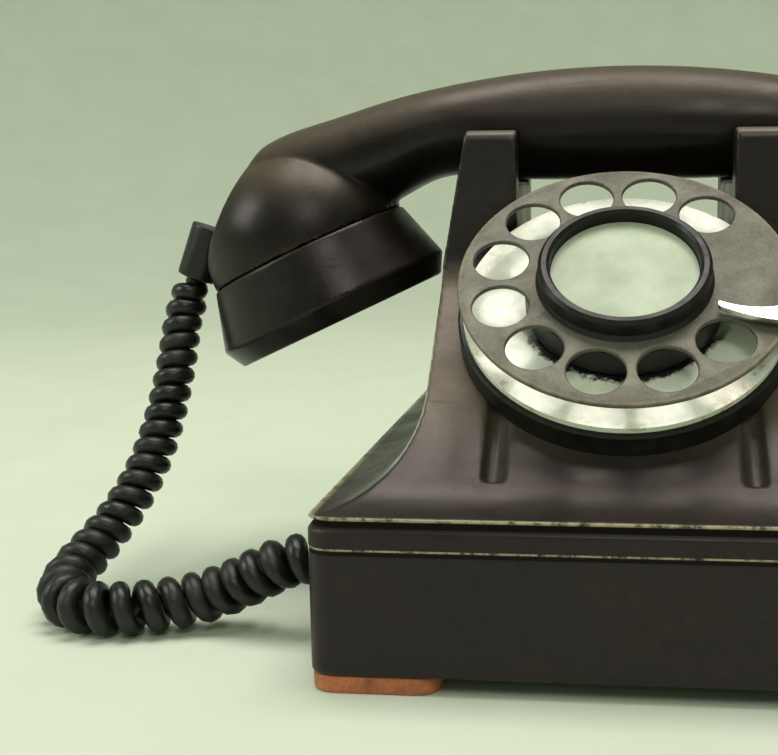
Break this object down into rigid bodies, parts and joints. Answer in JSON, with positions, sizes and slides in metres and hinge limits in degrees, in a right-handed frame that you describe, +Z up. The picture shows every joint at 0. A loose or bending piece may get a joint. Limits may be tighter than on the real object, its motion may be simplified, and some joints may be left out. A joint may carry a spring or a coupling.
{
  "type": "rotary dial desk telephone",
  "caption": "Desk telephone with a rotary dial, a coved bakelite body with cradle horns, and a handset on a curly cord.",
  "frame": {"origin": "on the table, under the middle of the telephone without its cord", "axes": "+Z up, +X to the right of a person facing the dial, -Y towards that person"},
  "size_m": [0.2589, 0.18, 0.1373],
  "materials": {
    "bakelite": "polished black bakelite with a warm brown-grey sheen",
    "handset_bakelite": "polished black bakelite, slightly worn by hands",
    "dial_black": "satin black enamelled metal",
    "enamel": "off-white enamel with small rust stains",
    "card": "blank off-white card",
    "bright_stop": "bright plated steel",
    "foot_leather": "red-brown leather",
    "cord_rubber": "black rubber",
    "steel_plate": "plain steel",
    "screw_steel": "turned steel",
    "spring_steel": "blued spring steel",
    "brass": "dull brass",
    "gong_metal": "nickelled bell metal",
    "winding": "varnished coil winding",
    "magnet": "dark iron",
    "fibre": "brown fibre board",
    "tin_can": "drawn metal can"
  },
  "bodies": {
    "base": {"housing": "bakelite", "base_plate": "steel_plate", "foot_pads": "foot_leather", "foot_studs": "screw_steel", "base_screws": "screw_steel", "dial_bezel": "dial_black", "number_plate": "enamel", "dial_frame": "screw_steel", "dial_back_plate": "screw_steel", "dial_pillars": "brass", "dial_return_spring": "spring_steel", "pulse_contacts": "fibre", "finger_stop": "bright_stop", "governor_cup": "brass", "plunger_bushes": "brass", "switch_bracket": "steel_plate", "switch_contacts": "fibre", "hook_spring": "spring_steel", "ringer_frame": "steel_plate", "ringer_windings": "winding", "ringer_cores": "screw_steel", "ringer_magnet": "magnet", "gong_left": "gong_metal", "gong_right": "gong_metal", "gong_posts": "brass", "gong_screws": "screw_steel", "clapper_pin": "screw_steel", "induction_core": "magnet", "induction_winding": "winding", "condenser": "tin_can", "terminal_block": "fibre", "terminal_screws": "brass", "handset_cord_grommet": "cord_rubber", "line_cord_inlet": "cord_rubber", "handset_cord": "cord_rubber"},
    "dial_wheel": {"finger_wheel": "dial_black", "wheel_hub": "dial_black", "card_retainer": "dial_black", "card_backing": "steel_plate", "number_card": "card", "dial_shaft": "screw_steel", "main_gear": "brass"},
    "pulse_wheel": {"pulse_pinion": "brass", "train_gear": "brass", "pulse_shaft": "screw_steel", "pulse_cam": "fibre"},
    "governor": {"governor_rotor": "brass", "governor_pinion": "brass"},
    "hook": {"cradle_plungers": "bakelite", "hook_yoke": "steel_plate"},
    "ringer_clapper": {"clapper": "brass"},
    "handset": {"handset_shell": "handset_bakelite", "transmitter_cap": "handset_bakelite", "receiver_cap": "handset_bakelite", "transmitter_capsule": "tin_can", "receiver_capsule": "tin_can", "capsule_contact_plates": "brass", "handset_cord_boot": "cord_rubber"}
  },
  "joints": [
    {"name": "dial_turn", "type": "hinge", "parent": "base", "child": "dial_wheel", "pos_m": [0, -0.0418, 0.0732], "axis": [0, 0.6374, -0.7705], "range_deg": [0, 315], "stiffness_Nm_per_rad": 0.004, "springref_deg": -68.75},
    {"name": "pulse_turn", "type": "hinge", "parent": "base", "child": "pulse_wheel", "pos_m": [-0.01983, -0.04736, 0.0686], "axis": [0, 0.6374, -0.7705], "range_deg": [-1265, 0]},
    {"name": "governor_turn", "type": "hinge", "parent": "base", "child": "governor", "pos_m": [-0.00727, -0.05295, 0.06398], "axis": [0, 0.6374, -0.7705], "range_deg": [0, 3790]},
    {"name": "handset_lift", "type": "slide", "parent": "base", "child": "handset", "axis": [0, 0, 1], "range_m": [0, 0.1]},
    {"name": "hook_rise", "type": "slide", "parent": "base", "child": "hook", "axis": [0, 0, 1], "range_m": [0, 0.005]},
    {"name": "clapper_swing", "type": "hinge", "parent": "base", "child": "ringer_clapper", "pos_m": [0, 0.022, 0.028], "axis": [0, 0, 1], "range_deg": [-3.5, 3.5]}
  ],
  "couplings": [
    {"joint": "pulse_turn", "follows": "dial_turn", "ratio": -4},
    {"joint": "governor_turn", "follows": "dial_turn", "ratio": 12},
    {"joint": "hook_rise", "follows": "handset_lift", "ratio": 0.05}
  ]
}
